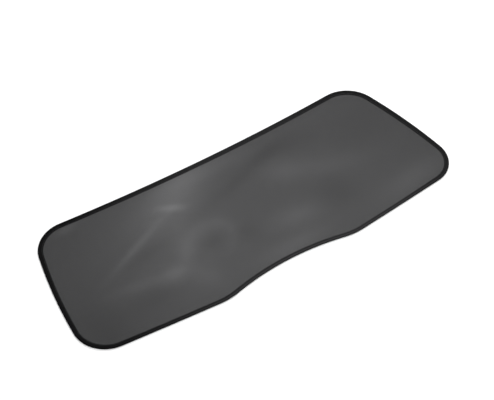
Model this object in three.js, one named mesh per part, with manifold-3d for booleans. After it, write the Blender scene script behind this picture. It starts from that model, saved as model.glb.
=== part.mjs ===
// Car side window sunshade: a fine mesh panel held taut by a spring wire ring, its edge bound all round
// with a folded tape that is sewn shut. Millimetres, +Z up. The shade lies flat on its back: X runs along
// its length, Y towards its top edge, and Z out of its front. The origin is the middle of its underside.

import * as THREE from "three";
import { mergeVertices } from "three/addons/utils/BufferGeometryUtils.js";
import Module from "manifold-3d";

const wasm = await Module();
wasm.setup();

// Outline, measured between the points where its edges would meet if no corner were rounded
const TOP_SPAN = 946;
const BOTTOM_SPAN = 1080;
const SIDE_HEIGHT = 397;
const KNEE_SPAN = 358;
const KNEE_DROP = 33.5;
const TOP_DIP = 19;
const SIDE_BOW = 14;
const WING_BOW = 0.8;
const NOTCH_RISE = 23;
const TOP_CORNER_RADIUS = 89;
const BOTTOM_CORNER_RADIUS = 84;
const KNEE_RADIUS = 172;

// Spring wire ring, and the crimped sleeve that joins its two ends
const WIRE_DIAMETER = 3;
const WIRE_END_GAP = 1;
const SLEEVE_LENGTH = 26;
const SLEEVE_WALL = 0.35;
const SLEEVE_CLEARANCE = 0.12;
const SLEEVE_MARGIN = 2; // straight tape past each end of the sleeve

// Binding tape: it folds round the wire as a bead, and its two legs hold the mesh between them
const TAPE_THICKNESS = 0.6;
const BEAD_CLEARANCE = 0.15;
const BEAD_FLAT = 0.2; // how much of the bead's round is pressed flat where the shade lies on it
const THROAT = 1;
const LEG_LENGTH = 6.6;
const MESH_CLEARANCE = 0.3;
const LAP_LENGTH = 30;
const LAP_RAMP = 1.5;
const LAP_PAST_KNEE = 6;

// Seam: one lockstitched line, sunk in a shallow groove in each leg of the tape
const SEAM_FROM_EDGE = 2.6;
const SEAM_GROOVE_WIDTH = 1.1;
const SEAM_GROOVE_DEPTH = 0.25;
const THREAD_WIDTH = 0.5;
const THREAD_HEIGHT = 0.35;
const THREAD_CLEARANCE = 0.1;

// Mesh panel, and the ripples that its uneven tension leaves
const MESH_THICKNESS = 0.4;
const MESH_FROM_WIRE = 0.8;
const RIPPLE_HEIGHT = 1.5;
const RIPPLE_CELL = 22;
const RIPPLE_FADE = 45;

// Facets: the furthest that a straight facet may stand off its curve, the most facets on one arc, the sides
// of each round section, and the angle above and below the wire where the bead's round ends, in degrees
const CHORD_ERROR = 0.4;
const MOST_STEPS = 400;
const ROUND_SIDES = 8;
const BEAD_STEPS = 6;
const SHOULDER_DEGREES = 50;

// Sizes that follow from those above
const wireRadius = WIRE_DIAMETER / 2;
const sleeveBore = wireRadius + SLEEVE_CLEARANCE;
const sleeveRadius = sleeveBore + SLEEVE_WALL;
const beadBore = sleeveRadius + BEAD_CLEARANCE;
const beadRadius = beadBore + TAPE_THICKNESS;
const middleHeight = beadRadius - BEAD_FLAT;
const slotHalf = MESH_THICKNESS / 2 + MESH_CLEARANCE;
const legHalf = slotHalf + TAPE_THICKNESS;
const legStart = 2 * beadRadius + THROAT;
const bindingWidth = legStart + LEG_LENGTH;
const seamInset = bindingWidth - SEAM_FROM_EDGE;
const meshInset = beadRadius + beadBore + MESH_FROM_WIRE;

// Ripples as shares of the panel's half length and half height: centre, length and width of each crest,
// its slant in degrees, and its height as a share of RIPPLE_HEIGHT, with hollows below zero
const RIPPLES = [
  { across: -0.54, up: 0.23, length: 0.24, width: 0.045, slant: 22, rise: 1 },
  { across: -0.28, up: 0.5, length: 0.12, width: 0.06, slant: 20, rise: 1 },
  { across: -0.2, up: 0.66, length: 0.2, width: 0.09, slant: 6, rise: 0.8 },
  { across: -0.58, up: -0.28, length: 0.2, width: 0.042, slant: -8, rise: 0.7 },
  { across: -0.4, up: -0.45, length: 0.08, width: 0.05, slant: -30, rise: 0.6 },
  { across: -0.31, up: -0.06, length: 0.11, width: 0.045, slant: 50, rise: 0.8 },
  { across: -0.16, up: 0.06, length: 0.1, width: 0.045, slant: -15, rise: 0.8 },
  { across: -0.12, up: -0.28, length: 0.1, width: 0.045, slant: 65, rise: 0.6 },
  { across: 0.25, up: 0.28, length: 0.11, width: 0.07, slant: -28, rise: 0.7 },
  { across: 0.44, up: 0.16, length: 0.24, width: 0.055, slant: -14, rise: 0.5 },
  { across: 0.23, up: -0.4, length: 0.14, width: 0.075, slant: 10, rise: 0.6 },
  { across: -0.23, up: -0.2, length: 0.07, width: 0.05, slant: 20, rise: -0.5 },
  { across: 0.26, up: 0.67, length: 0.14, width: 0.08, slant: 10, rise: -0.5 },
  { across: -0.66, up: -0.54, length: 0.14, width: 0.08, slant: 0, rise: -0.5 },
  { across: 0.43, up: -0.2, length: 0.13, width: 0.07, slant: 5, rise: -0.4 },
];

// One bowed edge, walked clockwise: a bow above zero swells outwards, and one below zero dips inwards
function bowedEdge(start, end, bow) {
  const chord = end.clone().sub(start);
  const depth = Math.abs(bow);
  const radius = (chord.lengthSq() / 4 + depth * depth) / (2 * depth);
  const side = Math.sign(bow);
  const inward = new THREE.Vector2(chord.y, -chord.x).normalize();
  const middle = start.clone().lerp(end, 0.5);
  const centre = middle.addScaledVector(inward, side * (radius - depth));
  return { start, centre, radius, side };
}

// Centre of the round between two edges: the point that lies the round's radius inside both of them
function roundCentre(before, after, radius) {
  const reachBefore = before.radius - before.side * radius;
  const reachAfter = after.radius - after.side * radius;
  const apart = after.centre.clone().sub(before.centre);
  const distance = apart.length();
  const along = (distance ** 2 + reachBefore ** 2 - reachAfter ** 2) / (2 * distance);
  const across = Math.sqrt(reachBefore ** 2 - along ** 2);
  const unit = apart.normalize();
  const normal = new THREE.Vector2(-unit.y, unit.x);
  const foot = before.centre.clone().addScaledVector(unit, along);
  const choices = [across, -across].map((shift) => foot.clone().addScaledVector(normal, shift));
  const corner = after.start;
  const isFirstNearer = choices[0].distanceTo(corner) < choices[1].distanceTo(corner);
  return isFirstNearer ? choices[0] : choices[1];
}

// Point of an edge's circle that a round touches
function touchPoint(edge, centre) {
  const ray = centre.clone().sub(edge.centre).normalize();
  return edge.centre.clone().addScaledVector(ray, edge.radius);
}

// The arc of a circle from one point to another: clockwise about a centre inside the outline (side 1), and
// anticlockwise about one outside it (side -1)
function arcBetween(centre, radius, side, from, to) {
  const startAngle = Math.atan2(from.y - centre.y, from.x - centre.x);
  const endAngle = Math.atan2(to.y - centre.y, to.x - centre.x);
  const turn = THREE.MathUtils.euclideanModulo(side * (startAngle - endAngle), 2 * Math.PI);
  return { centre, radius, side, startAngle, turn, length: radius * turn };
}

// The outline's arcs, clockwise from the left end of the top edge: each edge, then the round that ends it.
// Each corner gives its place, its own radius, and the bow of the edge that leaves it.
function outlineArcs() {
  const top = SIDE_HEIGHT / 2;
  const knee = -top - KNEE_DROP;
  const corners = [
    { x: -TOP_SPAN / 2, y: top, radius: TOP_CORNER_RADIUS, bow: -TOP_DIP, leaving: "top edge" },
    { x: TOP_SPAN / 2, y: top, radius: TOP_CORNER_RADIUS, bow: SIDE_BOW, leaving: "right side" },
    { x: BOTTOM_SPAN / 2, y: -top, radius: BOTTOM_CORNER_RADIUS, bow: WING_BOW, leaving: "right wing" },
    { x: KNEE_SPAN / 2, y: knee, radius: KNEE_RADIUS, bow: -NOTCH_RISE, leaving: "notch" },
    { x: -KNEE_SPAN / 2, y: knee, radius: KNEE_RADIUS, bow: WING_BOW, leaving: "left wing" },
    { x: -BOTTOM_SPAN / 2, y: -top, radius: BOTTOM_CORNER_RADIUS, bow: SIDE_BOW, leaving: "left side" },
  ];
  const count = corners.length;
  const points = corners.map(({ x, y }) => new THREE.Vector2(x, y));
  const edges = corners.map(({ bow }, i) => bowedEdge(points[i], points[(i + 1) % count], bow));
  const centres = corners.map(({ radius }, i) => {
    const before = edges[(i + count - 1) % count];
    return roundCentre(before, edges[i], radius);
  });
  return edges.flatMap((edge, i) => {
    const next = (i + 1) % count;
    const from = touchPoint(edge, centres[i]);
    const to = touchPoint(edge, centres[next]);
    const beyond = touchPoint(edges[next], centres[next]);
    const { leaving } = corners[i];
    return [
      { name: leaving, ...arcBetween(edge.centre, edge.radius, edge.side, from, to) },
      { name: `end of ${leaving}`, ...arcBetween(centres[next], corners[next].radius, 1, to, beyond) },
    ];
  });
}

const arcs = outlineArcs();
const perimeter = arcs.reduce((sum, arc) => sum + arc.length, 0);

// Where each arc starts along the outline
const arcStarts = arcs.map((_, i) => arcs.slice(0, i).reduce((sum, arc) => sum + arc.length, 0));

// The outline's point and inward normal at a distance along it
function stationAt(distance) {
  const wrapped = THREE.MathUtils.euclideanModulo(distance, perimeter);
  const index = arcStarts.findLastIndex((start) => start <= wrapped);
  const arc = arcs[index];
  const angle = arc.startAngle - arc.side * ((wrapped - arcStarts[index]) / arc.radius);
  const ray = new THREE.Vector2(Math.cos(angle), Math.sin(angle));
  const point = arc.centre.clone().addScaledVector(ray, arc.radius);
  return { point, inward: ray.multiplyScalar(-arc.side), distance: wrapped };
}

// Distances along the outline at which its facets end, so that none strays from its arc
function facetDistances() {
  return arcs.flatMap((arc, i) => {
    const widest = 2 * Math.acos(1 - CHORD_ERROR / arc.radius);
    const steps = Math.min(MOST_STEPS, Math.ceil(arc.turn / widest));
    return Array.from({ length: steps }, (_, k) => arcStarts[i] + (arc.length * k) / steps);
  });
}

// Distance along the outline to the middle of one of its arcs
function middleOf(name) {
  const index = arcs.findIndex((arc) => arc.name === name);
  return arcStarts[index] + arcs[index].length / 2;
}

// The tape's ends lap over each other at the left knee, and the sleeve is half way along the right wing
const lapEnd = middleOf("end of notch") + LAP_PAST_KNEE;
const lapStart = lapEnd - LAP_LENGTH;
const sleeveMiddle = middleOf("right wing");

// Both have facets of their own, which take the place of any that end there
const lapMarks = [lapStart - LAP_RAMP, lapStart, lapEnd, lapEnd + LAP_RAMP];
const sleeveReach = SLEEVE_LENGTH / 2 + SLEEVE_MARGIN;
const sleeveMarks = [sleeveMiddle - sleeveReach, sleeveMiddle + sleeveReach];
const isClearOf = (marks) => (distance) => distance < marks[0] || distance > marks[marks.length - 1];
const ringDistances = facetDistances()
  .filter(isClearOf(lapMarks))
  .filter(isClearOf(sleeveMarks))
  .concat(lapMarks, sleeveMarks)
  .sort((a, b) => a - b);
const ring = ringDistances.map(stationAt);

// The middle of the outline's box, where the origin is
const heights = ring.map((station) => station.point.y);
const middleY = (Math.min(...heights) + Math.max(...heights)) / 2;

// Stations from one distance to another, with the ring's own ones between them
function stationsBetween(from, to) {
  const inner = [...ringDistances, ...ringDistances.map((distance) => distance + perimeter)];
  const between = inner.filter((distance) => distance > from && distance < to);
  return [from, ...between, to].map(stationAt);
}

// How far the top leg is lifted by the tape end under it
function lapLift({ distance }) {
  const isInside = distance > lapMarks[0] + LAP_RAMP / 2 && distance < lapMarks[3] - LAP_RAMP / 2;
  return isInside ? TAPE_THICKNESS : 0;
}

// Sweeps a section along stations. The section is a list of [inset, height] points, anticlockwise with the
// inset to the right, and has as many points at every station. A closed sweep joins its end to its start.
function sweep(stations, sectionAt, isClosed) {
  const positions = stations.flatMap((station) =>
    sectionAt(station).flatMap(([inset, height]) => {
      const { x, y } = station.point.clone().addScaledVector(station.inward, inset);
      return [x, y - middleY, height];
    }),
  );
  const sides = sectionAt(stations[0]).length;
  const spans = isClosed ? stations.length : stations.length - 1;
  const index = [];
  for (let i = 0; i < spans; i += 1) {
    const here = i * sides;
    const there = ((i + 1) % stations.length) * sides;
    for (let j = 0; j < sides; j += 1) {
      const k = (j + 1) % sides;
      index.push(here + k, here + j, there + j, here + k, there + j, there + k);
    }
  }
  if (!isClosed) {
    const last = (stations.length - 1) * sides;
    for (let j = 1; j < sides - 1; j += 1) {
      index.push(0, j, j + 1, last, last + j + 1, last + j);
    }
  }
  const geometry = new THREE.BufferGeometry();
  geometry.setAttribute("position", new THREE.Float32BufferAttribute(positions, 3));
  geometry.setIndex(index);
  return geometry;
}

// Points of a circle round the wire's axis, from one angle to another in degrees
function roundPoints(radius, fromDegrees, toDegrees, steps) {
  return Array.from({ length: steps + 1 }, (_, i) => {
    const angle = THREE.MathUtils.degToRad(fromDegrees + ((toDegrees - fromDegrees) * i) / steps);
    return [beadRadius + radius * Math.cos(angle), middleHeight + radius * Math.sin(angle)];
  });
}

// A full round section on the wire's axis
function roundSection(radius) {
  const points = roundPoints(radius, 0, 360, ROUND_SIDES).slice(0, ROUND_SIDES);
  return () => points;
}

// Section of the folded tape: bead round the wire, two legs, and the slot between them for the mesh
function bindingSection(station) {
  const lift = lapLift(station);
  const flat = Math.sqrt(beadRadius ** 2 - middleHeight ** 2);
  const flatAngle = THREE.MathUtils.radToDeg(Math.atan2(flat, middleHeight));
  const slotAngle = THREE.MathUtils.radToDeg(Math.asin(slotHalf / beadBore));
  const grooveStart = seamInset - SEAM_GROOVE_WIDTH / 2;
  const grooveEnd = seamInset + SEAM_GROOVE_WIDTH / 2;
  const under = middleHeight - legHalf;
  const over = middleHeight + legHalf + lift;
  const bead = roundPoints(beadRadius, SHOULDER_DEGREES, 270 - flatAngle, BEAD_STEPS);
  return [
    ...roundPoints(beadRadius, flatAngle - 90, -SHOULDER_DEGREES, 1),
    [legStart, under],
    [grooveStart, under],
    [grooveStart, under + SEAM_GROOVE_DEPTH],
    [grooveEnd, under + SEAM_GROOVE_DEPTH],
    [grooveEnd, under],
    [bindingWidth, under],
    [bindingWidth, middleHeight - slotHalf],
    ...roundPoints(beadBore, -slotAngle, slotAngle - 360, ROUND_SIDES),
    [bindingWidth, middleHeight + slotHalf],
    [bindingWidth, over],
    [grooveEnd, over],
    [grooveEnd, over - SEAM_GROOVE_DEPTH],
    [grooveStart, over - SEAM_GROOVE_DEPTH],
    [grooveStart, over],
    [legStart, over],
    ...bead.map(([inset, height]) => {
      const share = Math.max(0, (height - middleHeight) / beadRadius);
      return [inset, height + lift * share];
    }),
  ];
}

// Section of a run of thread in its groove, from its lower side up
function threadSection(bottom) {
  const left = seamInset - THREAD_WIDTH / 2;
  const right = seamInset + THREAD_WIDTH / 2;
  return [
    [left, bottom],
    [right, bottom],
    [right, bottom + THREAD_HEIGHT],
    [left, bottom + THREAD_HEIGHT],
  ];
}

function needleThreadSection(station) {
  const grooveFloor = middleHeight + legHalf + lapLift(station) - SEAM_GROOVE_DEPTH;
  return threadSection(grooveFloor + THREAD_CLEARANCE);
}

function bobbinThreadSection() {
  const grooveRoof = middleHeight - legHalf + SEAM_GROOVE_DEPTH;
  return threadSection(grooveRoof - THREAD_CLEARANCE - THREAD_HEIGHT);
}

// Turns a closed geometry into a solid that can be cut and joined
function toSolid(geometry) {
  const bare = geometry.clone();
  bare.deleteAttribute("normal");
  bare.deleteAttribute("uv");
  const merged = mergeVertices(bare);
  const vertProperties = Float32Array.from(merged.attributes.position.array);
  const triVerts = Uint32Array.from(merged.index.array);
  return new wasm.Manifold(new wasm.Mesh({ numProp: 3, vertProperties, triVerts }));
}

function fromSolid(solid) {
  const mesh = solid.getMesh();
  const geometry = new THREE.BufferGeometry();
  geometry.setAttribute("position", new THREE.BufferAttribute(mesh.vertProperties, 3));
  geometry.setIndex(new THREE.BufferAttribute(mesh.triVerts, 1));
  return geometry;
}

// The crimped sleeve: a tube with a bore for the wire, cut by a longer round so that both ends are open
function sleeveGeometry() {
  const half = SLEEVE_LENGTH / 2;
  const tube = stationsBetween(sleeveMiddle - half, sleeveMiddle + half);
  const hole = sleeveMarks.map(stationAt);
  const outside = toSolid(sweep(tube, roundSection(sleeveRadius), false));
  const bore = toSolid(sweep(hole, roundSection(sleeveBore), false));
  return fromSolid(outside.subtract(bore));
}

// The wire: once round the outline, with its two ends facing each other inside the sleeve
function wireGeometry() {
  const start = sleeveMiddle + WIRE_END_GAP / 2;
  const end = sleeveMiddle + perimeter - WIRE_END_GAP / 2;
  return sweep(stationsBetween(start, end), roundSection(wireRadius), false);
}

// Distance from a point to the outline, along the ring of stations
function distanceToOutline(x, y) {
  const point = new THREE.Vector3(x, y, 0);
  const nearest = new THREE.Vector3();
  const side = new THREE.Line3();
  const distances = ring.map((station, i) => {
    const next = ring[(i + 1) % ring.length];
    side.start.set(station.point.x, station.point.y - middleY, 0);
    side.end.set(next.point.x, next.point.y - middleY, 0);
    return side.closestPointToPoint(point, true, nearest).distanceTo(point);
  });
  return Math.min(...distances);
}

// Height of the rippled mesh above its flat place. It is flat again before it enters the binding.
function rippleAt(x, y, halfLength, halfHeight) {
  const cellDiagonal = Math.SQRT2 * RIPPLE_CELL;
  const calm = bindingWidth + cellDiagonal;
  const fade = THREE.MathUtils.smoothstep(distanceToOutline(x, y), calm, calm + RIPPLE_FADE);
  const total = RIPPLES.reduce((sum, { across, up, length, width, slant, rise }) => {
    const angle = THREE.MathUtils.degToRad(slant);
    const dx = x - across * halfLength;
    const dy = y - up * halfHeight;
    const along = (dx * Math.cos(angle) + dy * Math.sin(angle)) / (length * halfLength);
    const beside = (dy * Math.cos(angle) - dx * Math.sin(angle)) / (width * halfLength);
    return sum + rise * Math.exp(-(along ** 2) - beside ** 2);
  }, 0);
  return RIPPLE_HEIGHT * fade * total;
}

// The mesh panel: a thin rippled slab, cut to the outline set in far enough to clear the wire
function meshGeometry() {
  const rim = ring.map(({ point, inward }) => {
    const { x, y } = point.clone().addScaledVector(inward, meshInset);
    return new THREE.Vector2(x, y - middleY);
  });
  const halfLength = Math.max(...rim.map((point) => point.x));
  const halfHeight = Math.max(...rim.map((point) => point.y));
  const length = 2 * (halfLength + RIPPLE_CELL);
  const width = 2 * (halfHeight + RIPPLE_CELL);
  const columns = Math.ceil(length / RIPPLE_CELL);
  const rows = Math.ceil(width / RIPPLE_CELL);
  const slab = new THREE.BoxGeometry(length, width, MESH_THICKNESS, columns, rows, 1);
  const place = slab.attributes.position;
  for (let i = 0; i < place.count; i += 1) {
    const ripple = rippleAt(place.getX(i), place.getY(i), halfLength, halfHeight);
    place.setZ(i, place.getZ(i) + middleHeight + ripple);
  }
  const depth = 2 * (middleHeight + RIPPLE_HEIGHT * RIPPLES.length);
  const cutter = new THREE.ExtrudeGeometry(new THREE.Shape(rim), { depth, steps: 1, bevelEnabled: false });
  cutter.translate(0, 0, middleHeight - depth / 2);
  return fromSolid(toSolid(slab).intersect(toSolid(cutter)));
}

const meshCloth = new THREE.MeshStandardMaterial({ color: 0x505050, roughness: 0.85, metalness: 0 });
const bindingTape = new THREE.MeshStandardMaterial({ color: 0x242424, roughness: 0.7, metalness: 0 });
const sewingThread = new THREE.MeshStandardMaterial({ color: 0x303030, roughness: 0.6, metalness: 0 });
const springSteel = new THREE.MeshStandardMaterial({ color: 0x8a8d90, roughness: 0.35, metalness: 0.9 });
const zincSleeve = new THREE.MeshStandardMaterial({ color: 0xa4a7aa, roughness: 0.45, metalness: 0.85 });

function piece(name, geometry, material) {
  geometry.computeVertexNormals();
  const mesh = new THREE.Mesh(geometry, material);
  mesh.name = name;
  return mesh;
}

const sunshade = new THREE.Group();
sunshade.add(
  piece("mesh_panel", meshGeometry(), meshCloth),
  piece("frame_wire", wireGeometry(), springSteel),
  piece("wire_sleeve", sleeveGeometry(), zincSleeve),
  piece("edge_binding", sweep(ring, bindingSection, true), bindingTape),
  piece("needle_thread", sweep(ring, needleThreadSection, true), sewingThread),
  piece("bobbin_thread", sweep(ring, bobbinThreadSection, true), sewingThread),
);

export default sunshade;
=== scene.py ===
"""Looks of the car side window sunshade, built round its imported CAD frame.

The shade lies flat: X runs along its length, Y towards its top edge and Z out of its front. All sizes are
in metres. Its wire and the wire's sleeve are kept from the frame. The mesh, the binding tape and both runs
of stitching are modelled here in finer detail, in the place of their plain solids.
"""

import logging
import math
from dataclasses import dataclass, field
from enum import Enum
from typing import Callable, Iterable, Optional, Sequence, Union

import bmesh
import bpy
import numpy as np
from mathutils import Matrix, Vector


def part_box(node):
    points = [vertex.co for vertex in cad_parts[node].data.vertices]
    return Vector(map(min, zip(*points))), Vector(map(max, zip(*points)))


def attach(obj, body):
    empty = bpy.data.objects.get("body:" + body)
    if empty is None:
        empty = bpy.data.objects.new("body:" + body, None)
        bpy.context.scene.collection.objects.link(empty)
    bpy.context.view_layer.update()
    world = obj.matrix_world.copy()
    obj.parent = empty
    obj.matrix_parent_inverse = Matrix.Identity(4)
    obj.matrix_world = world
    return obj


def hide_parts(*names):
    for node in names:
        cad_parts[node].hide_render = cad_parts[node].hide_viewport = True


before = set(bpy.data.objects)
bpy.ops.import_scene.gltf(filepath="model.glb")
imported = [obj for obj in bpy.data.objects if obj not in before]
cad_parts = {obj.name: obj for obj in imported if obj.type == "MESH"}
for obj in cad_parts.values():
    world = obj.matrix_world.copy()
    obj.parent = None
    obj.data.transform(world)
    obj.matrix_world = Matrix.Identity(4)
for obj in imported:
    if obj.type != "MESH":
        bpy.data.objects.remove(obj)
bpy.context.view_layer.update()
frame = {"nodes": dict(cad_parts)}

MM = 0.001
log = logging.getLogger("sunshade")
Piece = bpy.types.Object


class Slot(Enum):
    """Material slots of the pieces modelled here."""

    MESH = "mesh_cloth"
    TAPE = "binding_tape"
    THREAD = "sewing_thread"


class Face(Enum):
    """Which face of the shade a run of stitching lies on."""

    FRONT = 1
    BACK = -1


# Outline


@dataclass(frozen=True)
class Arc:
    """One arc of the outline, walked clockwise round the shade.

    Args:
        centre: middle of the arc's circle.
        radius: the circle's radius.
        side: 1 where the centre is inside the outline, and -1 where it is outside.
        start_angle: angle of the arc's first point.
        turn: angle that the arc covers, above zero.
        start: distance along the outline to the arc's first point.
    """

    centre: Vector
    radius: float
    side: int
    start_angle: float
    turn: float
    start: float = 0.0

    @property
    def length(self) -> float:
        """Length of the arc."""
        return self.radius * self.turn


@dataclass(frozen=True)
class Corner:
    """Where two edges would meet in a sharp corner, and the bow of the edge after it."""

    x: float
    y: float
    radius: float
    bow: float


@dataclass(frozen=True)
class Edge:
    """A bowed edge, as the circle it lies on and the corner it starts from."""

    start: Vector
    centre: Vector
    radius: float
    side: int

    @classmethod
    def between(cls, start: Vector, end: Vector, bow: float) -> "Edge":
        """Makes the edge from one corner to the next.

        Args:
            start: the first corner.
            end: the next corner, clockwise.
            bow: how far the edge swells out, or dips in where it is below zero.

        Returns:
            The edge.
        """
        chord = end - start
        depth = abs(bow)
        radius = (chord.length_squared / 4 + depth**2) / (2 * depth)
        side = 1 if bow > 0 else -1
        inward = Vector((chord.y, -chord.x)).normalized()
        return cls(start, (start + end) / 2 + inward * side * (radius - depth), radius, side)

    def touch(self, centre: Vector) -> Vector:
        """Point of the edge's circle in line with a round's centre."""
        return self.centre + (centre - self.centre).normalized() * self.radius


@dataclass(frozen=True)
class Outline:
    """Outer edge of the shade, from the same sizes as the frame's."""

    top_span: float = 0.946
    bottom_span: float = 1.080
    side_height: float = 0.397
    knee_span: float = 0.358
    knee_drop: float = 0.0335
    top_dip: float = 0.019
    side_bow: float = 0.014
    wing_bow: float = 0.0008
    notch_rise: float = 0.023
    top_corner: float = 0.089
    bottom_corner: float = 0.084
    knee_round: float = 0.172

    def corners(self) -> list[Corner]:
        """Corners of the outline, clockwise from the top left one."""
        top = self.side_height / 2
        knee = -top - self.knee_drop
        return [
            Corner(-self.top_span / 2, top, self.top_corner, -self.top_dip),
            Corner(self.top_span / 2, top, self.top_corner, self.side_bow),
            Corner(self.bottom_span / 2, -top, self.bottom_corner, self.wing_bow),
            Corner(self.knee_span / 2, knee, self.knee_round, -self.notch_rise),
            Corner(-self.knee_span / 2, knee, self.knee_round, self.wing_bow),
            Corner(-self.bottom_span / 2, -top, self.bottom_corner, self.side_bow),
        ]

    @staticmethod
    def _round_centre(before: Edge, after: Edge, radius: float) -> Vector:
        """Point that lies a round's radius inside both edges, nearest to the corner between them."""
        reach_before = before.radius - before.side * radius
        reach_after = after.radius - after.side * radius
        apart = after.centre - before.centre
        along = (apart.length_squared + reach_before**2 - reach_after**2) / (2 * apart.length)
        across = math.sqrt(reach_before**2 - along**2)
        unit = apart.normalized()
        foot = before.centre + unit * along
        normal = Vector((-unit.y, unit.x))
        choices = (foot + normal * across, foot - normal * across)
        return min(choices, key=lambda point: (point - after.start).length)

    @staticmethod
    def _arc(centre: Vector, radius: float, side: int, first: Vector, last: Vector) -> Arc:
        """Arc between two points of a circle."""
        start = math.atan2(first.y - centre.y, first.x - centre.x)
        end = math.atan2(last.y - centre.y, last.x - centre.x)
        return Arc(centre, radius, side, start, (side * (start - end)) % (2 * math.pi))

    def arcs(self) -> list[Arc]:
        """Works out the outline's arcs, centred on the frame's origin.

        Returns:
            Each edge and then the round that ends it, clockwise from the top edge.
        """
        corners = self.corners()
        count = len(corners)
        points = [Vector((corner.x, corner.y)) for corner in corners]
        edges = [Edge.between(points[i], points[(i + 1) % count], corners[i].bow) for i in range(count)]
        centres = [self._round_centre(edges[i - 1], edges[i], corners[i].radius) for i in range(count)]
        arcs: list[Arc] = []
        for i, edge in enumerate(edges):
            after = (i + 1) % count
            first, last = edge.touch(centres[i]), edge.touch(centres[after])
            beyond = edges[after].touch(centres[after])
            arcs.append(self._arc(edge.centre, edge.radius, edge.side, first, last))
            arcs.append(self._arc(centres[after], corners[after].radius, 1, last, beyond))
        return self._centred(arcs)

    @staticmethod
    def _centred(arcs: list[Arc]) -> list[Arc]:
        """Moves the arcs to the middle of the frame's box and numbers their starts."""
        knee_low = min(arc.centre.y - arc.radius for arc in (arcs[5], arcs[7]))
        corner_high = max(arc.centre.y + arc.radius for arc in (arcs[1], arcs[11]))
        shift = Vector((0.0, -(knee_low + corner_high) / 2))
        placed: list[Arc] = []
        start = 0.0
        for arc in arcs:
            placed.append(Arc(arc.centre + shift, arc.radius, arc.side, arc.start_angle, arc.turn, start))
            start += arc.length
        return placed


@dataclass
class EdgePath:
    """The outline as a path: places and directions at distances along it."""

    outline: Outline = field(default_factory=Outline)

    def __post_init__(self) -> None:
        """Works out the arcs and the whole length."""
        self.arcs = self.outline.arcs()
        self.length = sum(arc.length for arc in self.arcs)

    def station(self, distance: float, inset: float = 0.0) -> tuple[Vector, Vector]:
        """Finds a place on the path.

        Args:
            distance: how far along the outline it is, clockwise.
            inset: how far inside the outline it lies.

        Returns:
            The place, and the direction inwards there.
        """
        distance %= self.length
        arc = [arc for arc in self.arcs if arc.start <= distance][-1]
        angle = arc.start_angle - arc.side * (distance - arc.start) / arc.radius
        ray = Vector((math.cos(angle), math.sin(angle)))
        inward = ray * -arc.side
        return arc.centre + ray * arc.radius + inward * inset, inward

    def locate(self, points: np.ndarray, reach: float) -> tuple[np.ndarray, np.ndarray]:
        """Measures where points lie along the path and inside it.

        Args:
            points: rows of x and y.
            reach: how far from the outline a point may lie to be measured.

        Returns:
            The distance along the outline, and the inset, of each point.
        """
        distances = np.zeros(len(points))
        insets = np.full(len(points), np.inf)
        for arc in self.arcs:
            offset = points - np.array(arc.centre)
            radius = np.hypot(offset[:, 0], offset[:, 1])
            angle = np.arctan2(offset[:, 1], offset[:, 0])
            swept = (arc.side * (arc.start_angle - angle)) % (2 * math.pi)
            slack = 1e-6
            swept = np.where(swept > 2 * math.pi - slack, 0.0, swept)
            inset = arc.side * (arc.radius - radius)
            better = (swept <= arc.turn + slack) & (np.abs(inset) < np.minimum(np.abs(insets), reach))
            distances = np.where(better, arc.start + np.minimum(swept, arc.turn) * arc.radius, distances)
            insets = np.where(better, inset, insets)
        return distances, insets


# Modelling helpers


class Bench:
    """Mesh work in edit mode, with what is selected chosen in code."""

    @staticmethod
    def clear() -> None:
        """Deselects every object."""
        bpy.ops.object.select_all(action="DESELECT")

    @staticmethod
    def take(piece: Piece, name: str = "") -> Piece:
        """Selects one object alone and makes it active, with a new name where one is given."""
        Bench.clear()
        piece.select_set(True)
        bpy.context.view_layer.objects.active = piece
        if name:
            piece.name = name
            piece.data.name = name
        return piece

    @staticmethod
    def edit(piece: Piece, mode: str = "VERT") -> None:
        """Opens a piece in edit mode with nothing selected."""
        Bench.take(piece)
        bpy.ops.object.mode_set(mode="EDIT")
        bpy.ops.mesh.select_mode(type=mode)
        bpy.ops.mesh.select_all(action="DESELECT")

    @staticmethod
    def done() -> None:
        """Goes back to object mode."""
        bpy.ops.object.mode_set(mode="OBJECT")

    @staticmethod
    def select(piece: Piece, wanted: Callable[[bmesh.types.BMVert], bool]) -> None:
        """Selects vertices in edit mode by a test on each.

        Args:
            piece: the object in edit mode.
            wanted: says whether a vertex is to be selected.
        """
        mesh = bmesh.from_edit_mesh(piece.data)
        for vert in mesh.verts:
            vert.select_set(wanted(vert))
        mesh.select_flush(True)
        bmesh.update_edit_mesh(piece.data)

    @staticmethod
    def apply(piece: Piece, kind: str, **settings: object) -> None:
        """Adds a modifier with these settings and applies it."""
        Bench.take(piece)
        modifier = piece.modifiers.new(kind.title(), kind)
        for key, value in settings.items():
            setattr(modifier, key, value)
        bpy.ops.object.modifier_apply(modifier=modifier.name)

    @staticmethod
    def coordinates(piece: Piece) -> np.ndarray:
        """Vertex places of a piece, one row each."""
        flat = np.zeros(len(piece.data.vertices) * 3)
        piece.data.vertices.foreach_get("co", flat)
        return flat.reshape(-1, 3)

    @staticmethod
    def move_to(piece: Piece, places: np.ndarray) -> None:
        """Puts a piece's vertices at new places."""
        piece.data.vertices.foreach_set("co", places.astype(np.float32).ravel())
        piece.data.update()

    @staticmethod
    def finish(piece: Piece, smooth_angle: float) -> None:
        """Applies the place of a piece and smooths its faces up to an angle in degrees."""
        Bench.take(piece)
        bpy.ops.object.transform_apply(location=True, rotation=True, scale=True)
        bpy.ops.object.shade_smooth_by_angle(angle=math.radians(smooth_angle))

    @staticmethod
    def attribute(piece: Piece, name: str, values: np.ndarray) -> None:
        """Stores one number for each vertex, for the material to read."""
        layer = piece.data.attributes.new(name, "FLOAT", "POINT")
        layer.data.foreach_set("value", values.astype(np.float32))


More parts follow.
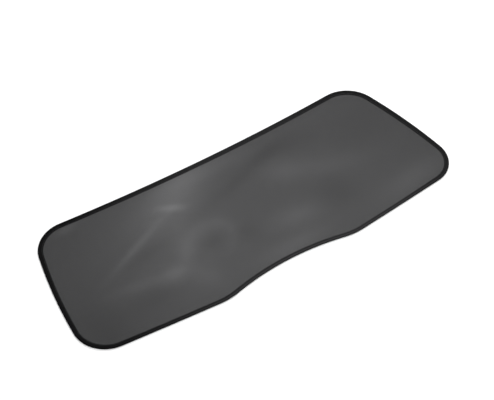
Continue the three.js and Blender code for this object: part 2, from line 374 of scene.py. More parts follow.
def smooth_step(values: np.ndarray, low: float, high: float) -> np.ndarray:
    """Eases values from 0 at the low limit to 1 at the high one."""
    share = np.clip((values - low) / (high - low), 0.0, 1.0)
    return share * share * (3 - 2 * share)


# Shader maths

Operand = Union["Signal", float, int]


class Signal:
    """A shader output that can be used in Python expressions."""

    def __init__(self, tree: "ShaderTree", socket: bpy.types.NodeSocket) -> None:
        """Wraps one output socket of a tree."""
        self.tree = tree
        self.socket = socket

    def _math(self, operation: str, *values: Operand) -> "Signal":
        """Adds a Math node and returns what comes out of it."""
        return self.tree.add("ShaderNodeMath", {"operation": operation}, dict(enumerate(values)))

    def __add__(self, other: Operand) -> "Signal":
        """Sum."""
        return self._math("ADD", self, other)

    def __sub__(self, other: Operand) -> "Signal":
        """Difference."""
        return self._math("SUBTRACT", self, other)

    def __mul__(self, other: Operand) -> "Signal":
        """Product."""
        return self._math("MULTIPLY", self, other)

    def __truediv__(self, other: Operand) -> "Signal":
        """Quotient."""
        return self._math("DIVIDE", self, other)

    def __rsub__(self, other: Operand) -> "Signal":
        """Difference from a number."""
        return self._math("SUBTRACT", other, self)

    __radd__ = __add__
    __rmul__ = __mul__

    def power(self, exponent: float) -> "Signal":
        """Raises the value to a power."""
        return self._math("POWER", self, exponent)

    def sine(self) -> "Signal":
        """Sine of the value in radians."""
        return self._math("SINE", self)

    def magnitude(self) -> "Signal":
        """The value without its sign."""
        return self._math("ABSOLUTE", self)

    def ramp(self, low: float, high: float) -> "Signal":
        """Eases from 0 at the low limit to 1 at the high one."""
        settings = {"interpolation_type": "SMOOTHSTEP"}
        inputs = {"Value": self, "From Min": low, "From Max": high}
        return self.tree.add("ShaderNodeMapRange", settings, inputs)


class ShaderTree:
    """Node tree of one material, with a Principled shader that its finish fills in."""

    def __init__(self, name: str) -> None:
        """Starts an empty material with an output and a shader."""
        self.material = bpy.data.materials.new(name)
        self.material.use_nodes = True
        self.nodes = self.material.node_tree.nodes
        self.links = self.material.node_tree.links
        self.nodes.clear()
        self.output = self.nodes.new("ShaderNodeOutputMaterial")
        self.shader = self.nodes.new("ShaderNodeBsdfPrincipled")
        self.links.new(self.shader.outputs[0], self.output.inputs["Surface"])

    def add(
        self,
        kind: str,
        settings: Optional[dict[str, object]] = None,
        inputs: Optional[dict[Union[str, int], object]] = None,
        output: Union[str, int] = 0,
    ) -> Signal:
        """Adds a node.

        Args:
            kind: the node's type.
            settings: properties of the node, set before its sockets.
            inputs: values or links for its sockets, by name or number.
            output: which of its outputs is wanted.

        Returns:
            The wanted output.
        """
        node = self.nodes.new(kind)
        for key, value in (settings or {}).items():
            setattr(node, key, value)
        for key, value in (inputs or {}).items():
            self.feed(node.inputs[key], value)
        return Signal(self, node.outputs[output])

    def feed(self, socket: bpy.types.NodeSocket, value: object) -> None:
        """Links a signal to a socket, or sets a plain value on it."""
        if isinstance(value, Signal):
            self.links.new(value.socket, socket)
        else:
            socket.default_value = value

    def place(self) -> Signal:
        """Place on the piece, in the frame's own metres."""
        return self.add("ShaderNodeTexCoord", output="Object")

    def axes(self, vector: Signal) -> tuple[Signal, Signal, Signal]:
        """Splits a vector into its three numbers."""
        node = self.nodes.new("ShaderNodeSeparateXYZ")
        self.links.new(vector.socket, node.inputs[0])
        return tuple(Signal(self, socket) for socket in node.outputs)

    def stored(self, name: str) -> Signal:
        """A number stored on the piece's vertices."""
        return self.add("ShaderNodeAttribute", {"attribute_name": name}, output="Fac")

    def reach(self, centre: tuple[float, float], near: float, far: float) -> Signal:
        """Eases from 1 near a place on the shade to 0 far from it.

        Args:
            centre: the place, as x and y.
            near: distance from it where the value is still 1.
            far: distance where it has come down to 0.

        Returns:
            The eased value.
        """
        x, y, _ = self.axes(self.place())
        across, up = x - centre[0], y - centre[1]
        distance = (across * across + up * up).power(0.5)
        return 1 - distance.ramp(near, far)

    def noise(self, scale: float, detail: float = 2.0, vector: Optional[Signal] = None) -> Signal:
        """Noise from 0 to 1, with so many bumps to a metre."""
        inputs = {"Vector": vector or self.place(), "Scale": scale, "Detail": detail}
        return self.add("ShaderNodeTexNoise", None, inputs, "Fac")

    def blend(self, share: Signal, low: Sequence[float], high: Sequence[float]) -> Signal:
        """Mixes two colours by a share."""
        inputs = {"Factor": share, 6: (*low, 1.0), 7: (*high, 1.0)}
        return self.add("ShaderNodeMix", {"data_type": "RGBA"}, inputs, 2)

    def bump(self, height: Signal, depth: float, strength: float = 1.0) -> None:
        """Raises the surface by a height from 0 to 1, over a depth in metres."""
        inputs = {"Height": height, "Distance": depth, "Strength": strength}
        normal = self.add("ShaderNodeBump", None, inputs)
        self.feed(self.shader.inputs["Normal"], normal)

    def set(self, **values: object) -> None:
        """Fills in sockets of the shader, with spaces in their names written as low lines."""
        for key, value in values.items():
            self.feed(self.shader.inputs[key.replace("_", " ")], value)


# How far from its middle a painted highlight stays full, and where it has faded out, in metres.
PAINTED_HIGHLIGHT_REACH = (0.1, 0.65)


@dataclass(frozen=True)
class MeshCloth:
    """Finish of the knitted mesh: fine open cells, with patches of painted sheen and painted shade, and a
    painted highlight round the middle of the shade.
    """

    dark: tuple[float, float, float] = (0.004, 0.004, 0.004)
    light: tuple[float, float, float] = (0.145, 0.145, 0.148)
    brightest: float = 1.5
    cell: float = 1.5 * MM
    yarn_alpha: float = 0.985
    hole_alpha: float = 0.28
    course_share: float = 0.8
    course_slant: float = 0.06
    hole_edge: tuple[float, float] = (0.25, 0.75)
    mottle: float = 0.06
    # Middle and strength of a painted highlight that lightens the mesh round the middle of the shade.
    mesh_painted_highlight: tuple[float, float] = (0.1, -0.1)
    mesh_highlight_gain: float = 0.15
    sheen: float = 0.03

    def build(self) -> bpy.types.Material:
        """Makes the material.

        Returns:
            The material, which reads the tone with painted sheen and shade stored on the mesh.
        """
        tree = ShaderTree("knitted_mesh")
        x, y, _ = tree.axes(tree.place())
        turns = 2 * math.pi / self.cell
        wales = (x * turns).sine() * 0.5 + 0.5
        courses = ((y + x * self.course_slant) * (turns * self.course_share)).sine() * 0.5 + 0.5
        hole = (wales * courses).ramp(*self.hole_edge)
        # Patches of painted sheen and painted shade, stored on the mesh together with its plain tone.
        tone_with_painted_light = tree.stored("tone_with_painted_light")
        cloud = tree.noise(5.0, 3.0)
        # Painted highlight: the mesh is lighter round the middle of the shade.
        mesh_painted_highlight = tree.reach(self.mesh_painted_highlight, *PAINTED_HIGHLIGHT_REACH) * self.mesh_highlight_gain
        tone = tone_with_painted_light + (cloud - 0.5) * self.mottle + mesh_painted_highlight
        base = tree.blend(tone / self.brightest, self.dark, self.light)
        alpha = self.yarn_alpha - hole * (self.yarn_alpha - self.hole_alpha)
        tree.set(Base_Color=base, Alpha=alpha, Roughness=0.72 + (cloud - 0.5) * 0.1)
        tree.set(Sheen_Weight=self.sheen, Sheen_Roughness=0.5, Specular_IOR_Level=0.15)
        tree.bump(1 - hole, 0.1 * MM, 0.4)
        return tree.material


@dataclass(frozen=True)
class BindingCloth:
    """Finish of the woven tape: black, with fine cross ribs, a painted highlight round the middle of the
    shade and painted shade on its front leg.
    """

    dark: tuple[float, float, float] = (0.0012, 0.0012, 0.0013)
    light: tuple[float, float, float] = (0.0270, 0.0270, 0.0276)
    rib: float = 1.1 * MM
    yarn: float = 0.7 * MM
    stitch: float = 4.2 * MM
    seam: float = 7.72 * MM
    pucker: float = 2.2 * MM
    # A painted highlight on the tape: its middle, the tone away from it, and how much lighter it makes the
    # tape.
    tape_highlight_middle: tuple[float, float] = (0.1, -0.1)
    tape_tone_off_highlight: float = 0.12
    tape_highlight_gain: float = 0.90
    grain_floor: float = 0.55
    grain_gain: float = 0.9
    # How much painted shade darkens the front leg beside the bead.
    front_leg_painted_shade: float = 0.42
    sheen: float = 0.004
    specular: float = 0.012

    def build(self) -> bpy.types.Material:
        """Makes the material.

        Returns:
            The material, which reads the distance along and across the tape stored on it.
        """
        tree = ShaderTree("woven_tape")
        along, across = tree.stored("along"), tree.stored("across")
        ribs = (along * (2 * math.pi / self.rib)).sine() * 0.5 + 0.5
        yarns = (across * (2 * math.pi / self.yarn)).sine() * 0.5 + 0.5
        weave = ribs * 0.65 + yarns * 0.35
        wear = tree.noise(9.0, 4.0)
        fuzz = tree.noise(900.0, 2.0)
        grain = weave * 0.5 + wear * 0.3 + fuzz * 0.2
        # Painted highlight: the tape is lighter round the middle of the shade and darker towards its ends.
        tape_painted_highlight = self.tape_tone_off_highlight + tree.reach(self.tape_highlight_middle, *PAINTED_HIGHLIGHT_REACH) * self.tape_highlight_gain
        # Painted shade over the front leg beside the bead.
        leg = (0 - across).ramp(1.0 * MM, 4.5 * MM)
        tone = tape_painted_highlight * (self.grain_floor + grain * self.grain_gain) * (1 - leg * self.front_leg_painted_shade)
        tree.set(Base_Color=tree.blend(tone, self.dark, self.light))
        tree.set(Roughness=0.50 + (fuzz - 0.5) * 0.1, Sheen_Weight=self.sheen, Sheen_Roughness=0.45)
        tree.set(Specular_IOR_Level=self.specular)
        beside_seam = (across + self.seam).magnitude().ramp(0.0, self.pucker)
        puffs = (along * (2 * math.pi / self.stitch)).sine() * 0.5 + 0.5
        tree.bump(weave * 0.2 + fuzz * 0.05 + puffs * (1 - beside_seam) * 0.75, 0.5 * MM, 0.7)
        return tree.material


@dataclass(frozen=True)
class ThreadCloth:
    """Finish of the sewing thread: black polyester with a faint twist."""

    dark: tuple[float, float, float] = (0.018, 0.018, 0.019)
    light: tuple[float, float, float] = (0.06, 0.06, 0.062)
    twist: float = 0.45 * MM

    def build(self) -> bpy.types.Material:
        """Makes the material."""
        tree = ShaderTree("sewing_thread")
        x, y, z = tree.axes(tree.place())
        plies = ((x + y + z) * (2 * math.pi / self.twist)).sine() * 0.5 + 0.5
        lint = tree.noise(300.0, 2.0)
        tree.set(Base_Color=tree.blend(plies * 0.6 + lint * 0.4, self.dark, self.light))
        tree.set(Roughness=0.5 + (lint - 0.5) * 0.2, Sheen_Weight=0.05, Specular_IOR_Level=0.2)
        tree.bump(plies, 0.05 * MM, 0.6)
        return tree.material


@dataclass(frozen=True)
class Metal:
    """Finish of a metal piece: drawn or crimped, with faint streaks and stains."""

    name: str
    dark: tuple[float, float, float]
    light: tuple[float, float, float]
    roughness: float
    streaks: float

    def build(self) -> bpy.types.Material:
        """Makes the material."""
        tree = ShaderTree(self.name)
        stain = tree.noise(60.0, 3.0)
        scratch = tree.noise(self.streaks, 2.0)
        tree.set(Base_Color=tree.blend(stain * 0.6 + scratch * 0.4, self.dark, self.light))
        tree.set(Metallic=0.95 - stain * 0.1, Roughness=self.roughness + (scratch - 0.5) * 0.2)
        tree.bump(scratch, 0.02 * MM, 0.5)
        return tree.material


# Pieces


@dataclass(frozen=True)
class Section:
    """Heights and insets that the tape, its seams and the mesh share, as in the frame."""

    bead_bore: float = 2.12 * MM
    tape: float = 0.6 * MM
    bead_flat: float = 0.2 * MM
    throat: float = 1.0 * MM
    leg: float = 6.6 * MM
    slot_half: float = 0.5 * MM
    seam_from_edge: float = 2.6 * MM
    mesh_from_wire: float = 0.8 * MM

    @property
    def bead_radius(self) -> float:
        """Outer radius of the bead, and the inset of the wire's axis."""
        return self.bead_bore + self.tape

    @property
    def middle(self) -> float:
        """Height of the wire's axis and of the mesh."""
        return self.bead_radius - self.bead_flat

    @property
    def leg_half(self) -> float:
        """Half the thickness of the two legs and the slot between them."""
        return self.slot_half + self.tape

    @property
    def leg_start(self) -> float:
        """Inset where the legs lie flat."""
        return 2 * self.bead_radius + self.throat

    @property
    def width(self) -> float:
        """Width of the binding."""
        return self.leg_start + self.leg

    @property
    def seam(self) -> float:
        """Inset of the seam."""
        return self.width - self.seam_from_edge

    @property
    def mesh_inset(self) -> float:
        """Inset of the mesh's own edge."""
        return self.bead_radius + self.bead_bore + self.mesh_from_wire


@dataclass(frozen=True)
class Lap:
    """Where the tape's two ends lie over each other, past the middle of the left knee."""

    knee_arc: int = 7
    past_knee: float = 6.0 * MM
    length: float = 30.0 * MM
    ramp: float = 0.5 * MM
    facet: float = 0.7 * MM

    def lift(self, path: EdgePath, distances: np.ndarray, thickness: float) -> np.ndarray:
        """How far the upper leg is lifted at distances along the outline."""
        arc = path.arcs[self.knee_arc]
        end = arc.start + arc.length / 2 + self.past_knee
        start = end - self.length
        rise = smooth_step(distances, start - self.ramp, start)
        fall = smooth_step(distances, end, end + self.ramp)
        return thickness * (rise - fall)


@dataclass(frozen=True)
class LegWidth:
    """How the sewn width of the two legs strays from its set size, given at the middle of each arc."""

    section: Section
    strays: tuple[float, ...] = tuple(
        MM * stray for stray in (1.1, 2.2, 2.0, -1.0, -3.2, -2.6, -2.4, -2.4, -2.6, -1.5, -1.4, 0.0)
    )

    def spread(self, path: EdgePath, distances: np.ndarray, insets: np.ndarray) -> np.ndarray:
        """Insets that places drawn on even legs have on the true ones."""
        past = np.maximum(insets - self.section.leg_start, 0.0)
        return insets + past * (self._share(path, distances) - 1)

    def even(self, path: EdgePath, distances: np.ndarray, insets: np.ndarray) -> np.ndarray:
        """Insets that places on the true legs had on even ones."""
        past = np.maximum(insets - self.section.leg_start, 0.0)
        return insets + past * (1 / self._share(path, distances) - 1)

    def _share(self, path: EdgePath, distances: np.ndarray) -> np.ndarray:
        """Width of the legs at distances along the outline, as a share of the set one."""
        middles = [arc.start + arc.length / 2 for arc in path.arcs]
        return 1 + np.interp(distances, middles, self.strays, period=path.length) / self.section.leg


def bell(x: np.ndarray, y: np.ndarray, slant: float, length: float, width: float) -> np.ndarray:
    """Bell-shaped rise to 1, long one way and narrow across it.

    Args:
        x: distances from its middle.
        y: distances from its middle, square to x.
        slant: how far its long way is turned from x, in degrees.
        length: how far it reaches along.
        width: how far it reaches across.

    Returns:
        The rise at each place.
    """
    angle = math.radians(slant)
    along = (x * math.cos(angle) + y * math.sin(angle)) / length
    beside = (y * math.cos(angle) - x * math.sin(angle)) / width
    return np.exp(-(along**2) - beside**2)


@dataclass(frozen=True)
class Ripple:
    """One ripple, in shares of the mesh's half length and half height, with its slant in degrees."""

    across: float
    up: float
    length: float
    width: float
    slant: float
    rise: float

    def height(self, x: np.ndarray, y: np.ndarray, half_length: float, half_height: float) -> np.ndarray:
        """Share of the full ripple height at each place."""
        right, above = x - self.across * half_length, y - self.up * half_height
        length, width = self.length * half_length, self.width * half_length
        return self.rise * bell(right, above, self.slant, length, width)


RIPPLES = (
    Ripple(-0.54, 0.23, 0.24, 0.045, 22, 1.0),
    Ripple(-0.28, 0.5, 0.12, 0.060, 20, 1.0),
    Ripple(-0.20, 0.66, 0.20, 0.090, 6, 0.8),
    Ripple(-0.58, -0.28, 0.20, 0.042, -8, 0.7),
    Ripple(-0.40, -0.45, 0.08, 0.050, -30, 0.6),
    Ripple(-0.31, -0.06, 0.11, 0.045, 50, 0.8),
    Ripple(-0.16, 0.06, 0.10, 0.045, -15, 0.8),
    Ripple(-0.12, -0.28, 0.10, 0.045, 65, 0.6),
    Ripple(0.25, 0.28, 0.11, 0.070, -28, 0.7),
    Ripple(0.44, 0.16, 0.24, 0.055, -14, 0.5),
    Ripple(0.23, -0.4, 0.14, 0.075, 10, 0.6),
    Ripple(-0.23, -0.2, 0.07, 0.050, 20, -0.5),
    Ripple(0.26, 0.67, 0.14, 0.080, 10, -0.5),
    Ripple(-0.66, -0.54, 0.14, 0.080, 0, -0.5),
    Ripple(0.43, -0.2, 0.13, 0.070, 5, -0.4),
)


@dataclass(frozen=True)
class PaintedLightPatch:
    """One patch of painted sheen on the mesh where its strength is above zero, and of painted shade where
    it is below, in millimetres of the shade and degrees of slant.
    """

    x: float
    y: float
    length: float
    width: float
    slant: float
    strength: float

    def share(self, x: np.ndarray, y: np.ndarray) -> np.ndarray:
        """How much the patch lightens each place."""
        right, above = x / MM - self.x, y / MM - self.y
        return self.strength * bell(right, above, self.slant, self.length, self.width)


# Patches of painted sheen (strength above zero) and painted shade (strength below zero) on the mesh.
PAINTED_LIGHT_PATCHES = (
    PaintedLightPatch(-225, -10, 180, 200, 0, 0.17),
    PaintedLightPatch(-160, 40, 45, 35, 20, 0.08),
    PaintedLightPatch(-148, 102, 34, 11, -28, 0.40),
    PaintedLightPatch(-270, 48, 105, 10, 24, 0.20),
    PaintedLightPatch(-130, 125, 110, 55, 20, 0.38),
    PaintedLightPatch(-70, 172, 90, 35, 5, 0.26),
    PaintedLightPatch(-394, 187, 30, 9, 10, 0.16),
    PaintedLightPatch(-328, -62, 75, 16, -8, 0.13),
    PaintedLightPatch(-248, -78, 34, 24, 0, 0.26),
    PaintedLightPatch(-185, -28, 48, 24, 50, 0.24),
    PaintedLightPatch(-118, 6, 45, 22, 10, 0.15),
    PaintedLightPatch(-66, -16, 35, 20, -60, 0.12),
    PaintedLightPatch(-76, -62, 30, 18, 60, 0.08),
    PaintedLightPatch(-190, -122, 44, 28, -60, 0.12),
    PaintedLightPatch(150, 55, 55, 38, -15, 0.13),
    PaintedLightPatch(242, 16, 100, 30, -18, 0.11),
    PaintedLightPatch(98, -89, 70, 34, -5, 0.21),
    PaintedLightPatch(38, -160, 95, 26, 0, 0.20),
    PaintedLightPatch(410, -146, 110, 36, 8, 0.16),
    PaintedLightPatch(60, 162, 80, 24, 0, 0.10),
    PaintedLightPatch(62, 97, 120, 16, 17, -0.08),
    PaintedLightPatch(-274, 10, 60, 18, 15, -0.10),
    PaintedLightPatch(-118, -44, 34, 24, 0, -0.06),
    PaintedLightPatch(-322, -116, 60, 30, 0, -0.06),
    PaintedLightPatch(-466, -134, 60, 80, 0, -0.07),
    PaintedLightPatch(200, 130, 100, 38, -5, -0.08),
    PaintedLightPatch(218, -80, 55, 42, 0, -0.09),
    PaintedLightPatch(386, 46, 90, 50, 0, -0.04),
    PaintedLightPatch(-34, -62, 35, 30, 0, -0.08),
    PaintedLightPatch(410, 106, 110, 50, 0, -0.03),
)


@dataclass
class EdgeBinding:
    """The tape folded round the wire and over the edge of the mesh."""

    path: EdgePath
    section: Section
    lap: Lap
    legs: LegWidth
    bead_sides: int = 20
    mouth: float = math.pi / 4
    facet: float = 6.0 * MM
    groove_depth: float = 0.2 * MM
    groove_half: float = 0.55 * MM
    groove_shoulder: float = 0.88 * MM
    weld: float = 0.02 * MM

    def build(self) -> Piece:
        """Models the tape and dresses it.

        Returns:
            The finished binding.
        """
        piece = self._profile()
        self._spin_round(piece)
        self._shape(piece)
        Bench.apply(piece, "SOLIDIFY", thickness=self.section.tape, offset=0.0, use_even_offset=True)
        self._store_places(piece)
        Bench.finish(piece, 40.0)
        piece.data.materials.append(BindingCloth().build())
        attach(piece, "root")
        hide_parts("edge_binding")
        return piece

    def _profile(self) -> Piece:
        """Draws the middle line of the folded tape at the start of the outline, as a bead and two legs."""
        section = self.section
        start, inward = self.path.station(0.0)
        Bench.clear()
        radius = section.bead_bore + section.tape / 2
        bpy.ops.mesh.primitive_circle_add(vertices=self.bead_sides, radius=radius)
        piece = Bench.take(bpy.context.object, "edge_binding_tape")
        turn = Matrix(((inward.x, 0.0, -inward.y), (inward.y, 0.0, inward.x), (0.0, 1.0, 0.0)))
        centre = start + inward * section.bead_radius
        Bench.edit(piece)
        throat = radius * math.cos(self.mouth)
        Bench.select(piece, lambda vert: vert.co.x > throat)
        bpy.ops.mesh.delete(type="VERT")
        self._draw_leg(piece, 1)
        self._draw_leg(piece, -1)
        Bench.done()
        placed = Matrix.Translation((centre.x, centre.y, section.middle)) @ turn.to_4x4()
        piece.data.transform(placed)
        return piece

    def _draw_leg(self, piece: Piece, side: int) -> None:
        """Extrudes one leg from the bead's open end, flat to its inner edge, with points for the seam."""
        section = self.section
        height = side * (section.slot_half + section.tape / 2)
        groove = section.seam - section.bead_radius
        stops = (
            section.leg_start - section.bead_radius,
            groove - self.groove_shoulder,
            groove - self.groove_half,
            groove,
            groove + self.groove_half,
            groove + self.groove_shoulder,
            section.width - section.bead_radius,
        )
        mesh = bmesh.from_edit_mesh(piece.data)
        ends = [vert for vert in mesh.verts if len(vert.link_edges) == 1 and vert.co.y * side > 0]
        place = max(ends, key=lambda vert: vert.co.x).co.copy()
        Bench.select(piece, lambda vert: (vert.co - place).length < 1e-7)
        for stop in stops:
            step = (stop - place.x, height - place.y, 0.0)
            bpy.ops.mesh.extrude_region_move(TRANSFORM_OT_translate={"value": step})
            place = Vector((stop, height, 0.0))

    def _spin_round(self, piece: Piece) -> None:
        """Spins the profile round each arc of the outline in turn, back to where it started."""
        Bench.edit(piece)
        Bench.select(piece, lambda vert: True)
        lapped = self.path.arcs[self.lap.knee_arc]
        for arc in self.path.arcs:
            bpy.ops.mesh.spin(
                steps=max(4, math.ceil(arc.length / (self.lap.facet if arc is lapped else self.facet))),
                angle=arc.side * arc.turn,
                center=(arc.centre.x, arc.centre.y, 0.0),
                axis=(0.0, 0.0, 1.0),
            )
        bpy.ops.mesh.select_all(action="SELECT")
        bpy.ops.mesh.remove_doubles(threshold=self.weld)
        bpy.ops.mesh.normals_make_consistent(inside=False)
        Bench.done()

    def _shape(self, piece: Piece) -> None:
        """Presses the groove, lifts the lap, flattens the bead and gives the legs their width."""
        section = self.section
        places = Bench.coordinates(piece)
        distances, insets = self.path.locate(places[:, :2], 2 * section.width)
        above = places[:, 2] - section.middle
        pressed = np.abs(insets - section.seam) < self.groove_half * 1.1
        places[:, 2] -= np.where(pressed, np.sign(above) * self.groove_depth, 0.0)
        lift = self.lap.lift(self.path, distances, section.tape)
        reach = np.clip(above / section.leg_half, 0.0, 1.0)
        places[:, 2] += lift * reach
        lowest = section.tape / 2
        places[:, 2] = np.maximum(places[:, 2], lowest)
        spread = self.legs.spread(self.path, distances, insets)
        for index in np.flatnonzero(np.abs(spread - insets) > 1e-7):
            place, _ = self.path.station(distances[index], spread[index])
            places[index, :2] = place
        Bench.move_to(piece, places)

    def _store_places(self, piece: Piece) -> None:
        """Stores how far along and across the tape each vertex is, for the weave."""
        section = self.section
        places = Bench.coordinates(piece)
        distances, insets = self.path.locate(places[:, :2], 2 * section.width)
        sideways = self.legs.even(self.path, distances, insets) - section.bead_radius
        above = places[:, 2] - section.middle
        round_angle = np.arctan2(-sideways, above)
        bend = np.where(sideways < 0, round_angle * section.bead_radius, 0.0)
        flat = np.where(sideways >= 0, sideways * np.sign(above), 0.0)
        lower = np.where((sideways >= 0) & (above < 0), math.pi * section.bead_radius, 0.0)
        Bench.attribute(piece, "along", distances)
        Bench.attribute(piece, "across", bend - flat + lower)


@dataclass
class StitchRun:
    """One run of lockstitches, on the front or the back of the binding."""

    path: EdgePath
    section: Section
    lap: Lap
    legs: LegWidth
    face: Face
    name: str
    node: str
    stitch: float = 4.2 * MM
    reach: float = 0.82
    thickness: float = 0.5 * MM
    flatness: float = 0.75
    taper: float = 0.35
    dip: float = 0.45
    sink: float = 0.15 * MM
    lean: float = 0.06
    lean_step: float = 2.4

    def build(self) -> Piece:
        """Models one stitch, copies it along the seam and dresses the run.

        Returns:
            The finished run of stitches.
        """
        stitch = self._one_stitch()
        run = self._lay_along(stitch)
        run.data.materials.append(ThreadCloth().build())
        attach(run, "root")
        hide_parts(self.node)
        return run

    def _one_stitch(self) -> Piece:
        """Models a stitch as a round thread that dips into the tape at both ends."""
        length = self.stitch * self.reach
        Bench.clear()
        bpy.ops.mesh.primitive_cylinder_add(vertices=6, radius=self.thickness / 2, depth=length)
        piece = Bench.take(bpy.context.object, self.name)
        piece.rotation_euler = (0.0, math.pi / 2, 0.0)
        bpy.ops.object.transform_apply(location=True, rotation=True, scale=True)
        Bench.edit(piece)
        for share in (-0.3, 0.0, 0.3):
            bpy.ops.mesh.select_all(action="SELECT")
            bpy.ops.mesh.bisect(plane_co=(share * length, 0.0, 0.0), plane_no=(1.0, 0.0, 0.0))
        Bench.done()
        places = Bench.coordinates(piece)
        share = np.abs(places[:, 0]) / (length / 2)
        places[:, 1:] *= (1.0 - self.taper * share**2)[:, None]
        places[:, 2] = places[:, 2] * self.flatness - share**3 * self.thickness * self.dip
        Bench.move_to(piece, places)
        Bench.finish(piece, 60.0)
        return piece

    def _lay_along(self, stitch: Piece) -> Piece:
        """Copies the stitch all along the seam, joins the copies and takes the first stitch away."""
        count = round(self.path.length / self.stitch)
        copies = []
        for i in range(count):
            copy = stitch.copy()
            copy.data = stitch.data.copy()
            bpy.context.scene.collection.objects.link(copy)
            lean = self.lean * math.sin(i * self.lean_step)
            copy.matrix_world = self._stand((i + 0.5) * self.path.length / count, lean)
            copies.append(copy)
        bpy.data.objects.remove(stitch)
        Bench.clear()
        for copy in copies:
            copy.select_set(True)
        bpy.context.view_layer.objects.active = copies[0]
        bpy.ops.object.join()
        run = Bench.take(copies[0], self.name)
        Bench.finish(run, 60.0)
        return run

    def _stand(self, distance: float, lean: float) -> Matrix:
        """Works out where a stitch lies.

        Args:
            distance: how far along the outline its middle is.
            lean: the angle that it leans across the seam.

        Returns:
            The place and turn of the stitch.
        """
        section = self.section
        side = self.face.value
        distances = np.array([distance])
        seam = float(self.legs.spread(self.path, distances, np.array([section.seam]))[0])
        place, inward = self.path.station(distance, seam)
        height = side * (section.leg_half - self.sink + self.thickness * 0.3)
        if self.face is Face.FRONT:
            height += float(self.lap.lift(self.path, distances, section.tape)[0])
        forward = Vector((-inward.y, inward.x, 0.0))
        across = Vector((-side * inward.x, -side * inward.y, 0.0))
        turn = Matrix((forward, across, (0.0, 0.0, side))).transposed().to_4x4()
        middle = Matrix.Translation((place.x, place.y, section.middle + height))
        return middle @ turn @ Matrix.Rotation(lean, 4, "Z")


@dataclass
class MeshPanel:
    """The knitted mesh, held taut in the binding with faint ripples."""

    path: EdgePath
    section: Section
    thickness: float = 0.4 * MM
    cell: float = 5.0 * MM
    ripple_height: float = 1.5 * MM
    calm: float = 10.0 * MM
    fade: float = 60.0 * MM
    rim_step: float = 6.0 * MM
    plain_tone: float = 0.36

    def build(self) -> Piece:
        """Models the mesh and dresses it.

        Returns:
            The finished mesh panel.
        """
        piece = self._slab()
        self._trim(piece)
        self._ripple(piece)
        Bench.finish(piece, 50.0)
        piece.data.materials.append(MeshCloth().build())
        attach(piece, "root")
        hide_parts("mesh_panel")
        return piece

    def _reach(self) -> tuple[float, float]:
        """Half length and half height of the mesh, as the frame gives them."""
        low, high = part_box("mesh_panel")
        return (high.x - low.x) / 2, (high.y - low.y) / 2

    def _slab(self) -> Piece:
        """Starts from a flat grid that covers the whole outline, given the mesh's thickness."""
        half_length, half_height = self._reach()
        Bench.clear()
        bpy.ops.mesh.primitive_grid_add(
            x_subdivisions=math.ceil(2 * half_length / self.cell),
            y_subdivisions=math.ceil(2 * half_height / self.cell),
            size=2.0,
            location=(0.0, 0.0, self.section.middle),
        )
        piece = Bench.take(bpy.context.object, "knitted_mesh_panel")
        piece.scale = (half_length + self.cell, half_height + self.cell, 1.0)
        bpy.ops.object.transform_apply(location=True, rotation=True, scale=True)
        Bench.apply(piece, "SOLIDIFY", thickness=self.thickness, offset=0.0)
        return piece

    def _trim(self, piece: Piece) -> None:
        """Cuts the slab to the outline, set in far enough to clear the wire."""
        steps = math.ceil(self.path.length / self.rim_step)
        distances = [i * self.path.length / steps for i in range(steps)]
        points = [self.path.station(distance, self.section.mesh_inset)[0] for distance in distances]
        Bench.clear()
        bpy.ops.mesh.primitive_circle_add(vertices=steps, radius=1.0, fill_type="NGON")
        cutter = Bench.take(bpy.context.object, "trim_line")
        depth = 10 * self.thickness
        order = [vert.index for vert in cutter.data.vertices]
        rim = np.zeros((len(order), 3))
        rim[:, :2] = [points[-index] for index in order]
        rim[:, 2] = self.section.middle - depth / 2
        Bench.move_to(cutter, rim)
        Bench.edit(cutter, "FACE")
        bpy.ops.mesh.select_all(action="SELECT")
        bpy.ops.mesh.extrude_region_move(TRANSFORM_OT_translate={"value": (0.0, 0.0, depth)})
        bpy.ops.mesh.select_all(action="SELECT")
        bpy.ops.mesh.normals_make_consistent(inside=False)
        Bench.done()
        Bench.apply(piece, "BOOLEAN", operation="INTERSECT", object=cutter, solver="EXACT")
        bpy.data.objects.remove(cutter)

    def _ripple(self, piece: Piece) -> None:
        """Moves the mesh up and down in ripples that die out before the binding."""
        half_length, half_height = self._reach()
        places = Bench.coordinates(piece)
        x, y = places[:, 0], places[:, 1]
        _, insets = self.path.locate(places[:, :2], self.calm + self.fade + 2 * self.section.width)
        insets = np.where(np.isfinite(insets), insets, np.inf)
        start = self.section.width + self.calm
        fade = smooth_step(np.minimum(insets, start + 2 * self.fade), start, start + self.fade)
        total = sum(ripple.height(x, y, half_length, half_height) for ripple in RIPPLES)
        places[:, 2] += self.ripple_height * fade * total
        Bench.move_to(piece, places)
        # Patches of painted sheen and painted shade, added to the plain tone and stored for the mesh's
        # material.
        painted_patches = sum(cloud.share(x, y) for cloud in PAINTED_LIGHT_PATCHES)
        Bench.attribute(piece, "tone_with_painted_light", self.plain_tone + painted_patches)


@dataclass
class WireRing:
    """The wire and its sleeve, kept from the frame and given their metals."""

    nodes: dict[str, Piece]

    def dress(self) -> None:
        """Puts drawn steel on the wire and dull aluminium on the sleeve."""
        steel = Metal("drawn_steel", (0.30, 0.30, 0.31), (0.52, 0.52, 0.53), 0.34, 700.0)
        sleeve = Metal("crimped_sleeve", (0.48, 0.49, 0.50), (0.68, 0.69, 0.70), 0.46, 400.0)
        for name, finish in (("frame_wire", steel), ("wire_sleeve", sleeve)):
            data = self.nodes[name].data
            data.materials.clear()
            data.materials.append(finish.build())


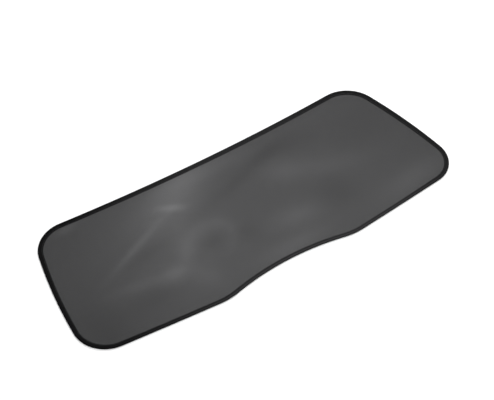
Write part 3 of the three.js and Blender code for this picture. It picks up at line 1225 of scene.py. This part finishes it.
@dataclass(frozen=True)
class Lamp:
    """A soft rectangular light that faces the shade."""

    name: str
    place: tuple[float, float, float]
    size: tuple[float, float]
    power: float

    def hang(self) -> None:
        """Adds the light to the scene."""
        data = bpy.data.lights.new(self.name, "AREA")
        data.shape = "RECTANGLE"
        data.size, data.size_y = self.size
        data.energy = self.power
        lamp = bpy.data.objects.new(self.name, data)
        bpy.context.scene.collection.objects.link(lamp)
        lamp.location = self.place
        lamp.rotation_euler = (-Vector(self.place)).to_track_quat("-Z", "Y").to_euler()


@dataclass(frozen=True)
class Studio:
    """Pale floor, soft lights and the camera at the photograph's angle."""

    azimuth: float = -33.70
    elevation: float = 48.825
    distance: float = 3.6453
    lens: float = 108.0
    shift_x: float = 0.00543
    shift_y: float = 0.02056
    floor_size: float = 8.0
    floor_drop: float = 0.2 * MM
    floor_colour: tuple[float, float, float] = (0.86, 0.86, 0.86)
    dust_tint: float = 0.99
    world_strength: float = 0.12
    lamps: tuple[Lamp, ...] = (
        Lamp("overhead", (-0.4, -0.9, 2.9), (3.2, 2.6), 100.0),
        Lamp("key", (1.085, 1.207, 1.89), (0.9, 0.9), 45.0),
    )

    def build(self) -> None:
        """Sets up the floor, lights, world and camera."""
        self._floor()
        for lamp in self.lamps:
            lamp.hang()
        self._world()
        self._camera()

    def _floor(self) -> None:
        """Lays the floor just under the shade."""
        Bench.clear()
        bpy.ops.mesh.primitive_plane_add(size=self.floor_size, location=(0.0, 0.0, -self.floor_drop))
        floor = Bench.take(bpy.context.object, "studio_floor")
        tree = ShaderTree("pale_floor")
        dust = tree.noise(3.0, 2.0)
        tint = tuple(self.dust_tint * channel for channel in self.floor_colour)
        tree.set(Base_Color=tree.blend(dust, self.floor_colour, tint))
        tree.set(Roughness=0.9, Specular_IOR_Level=0.1)
        floor.data.materials.append(tree.material)

    def _world(self) -> None:
        """Fills the room with even white light."""
        world = bpy.data.worlds.new("white_room")
        world.use_nodes = True
        background = world.node_tree.nodes["Background"]
        background.inputs["Color"].default_value = (1.0, 1.0, 1.0, 1.0)
        background.inputs["Strength"].default_value = self.world_strength
        bpy.context.scene.world = world
        bpy.context.scene.view_settings.view_transform = "Standard"

    def _camera(self) -> None:
        """Stands the camera where the photograph was taken from."""
        azimuth, elevation = math.radians(self.azimuth), math.radians(self.elevation)
        flat = math.cos(elevation)
        back = Vector((math.sin(azimuth) * flat, -math.cos(azimuth) * flat, math.sin(elevation)))
        right = Vector((math.cos(azimuth), math.sin(azimuth), 0.0))
        turn = Matrix((right, back.cross(right), back)).transposed()
        data = bpy.data.cameras.new("photo_view")
        data.lens = self.lens
        data.sensor_width = 36.0
        data.shift_x, data.shift_y = self.shift_x, self.shift_y
        data.clip_end = 50.0
        camera = bpy.data.objects.new("photo_view", data)
        bpy.context.scene.collection.objects.link(camera)
        camera.matrix_world = Matrix.Translation(back * self.distance) @ turn.to_4x4()
        bpy.context.scene.camera = camera


def report(pieces: Iterable[Piece]) -> None:
    """Logs each piece's faces and box."""
    for piece in pieces:
        places = Bench.coordinates(piece)
        low, high = places.min(0).round(4), places.max(0).round(4)
        log.info("%s: %d faces, %s to %s", piece.name, len(piece.data.polygons), low, high)


def main() -> None:
    """Builds the sunshade and the studio."""
    logging.basicConfig(level=logging.INFO, format="%(message)s")
    Studio().build()
    path = EdgePath()
    section = Section()
    lap = Lap()
    WireRing(frame["nodes"]).dress()
    legs = LegWidth(section)
    binding = EdgeBinding(path, section, lap, legs).build()
    needle = StitchRun(path, section, lap, legs, Face.FRONT, "needle_stitches", "needle_thread").build()
    bobbin = StitchRun(path, section, lap, legs, Face.BACK, "bobbin_stitches", "bobbin_thread").build()
    panel = MeshPanel(path, section).build()
    low, high = Bench.coordinates(panel).min(0), Bench.coordinates(panel).max(0)
    report([binding, needle, bobbin, panel])


if __name__ == "__main__":
    main()
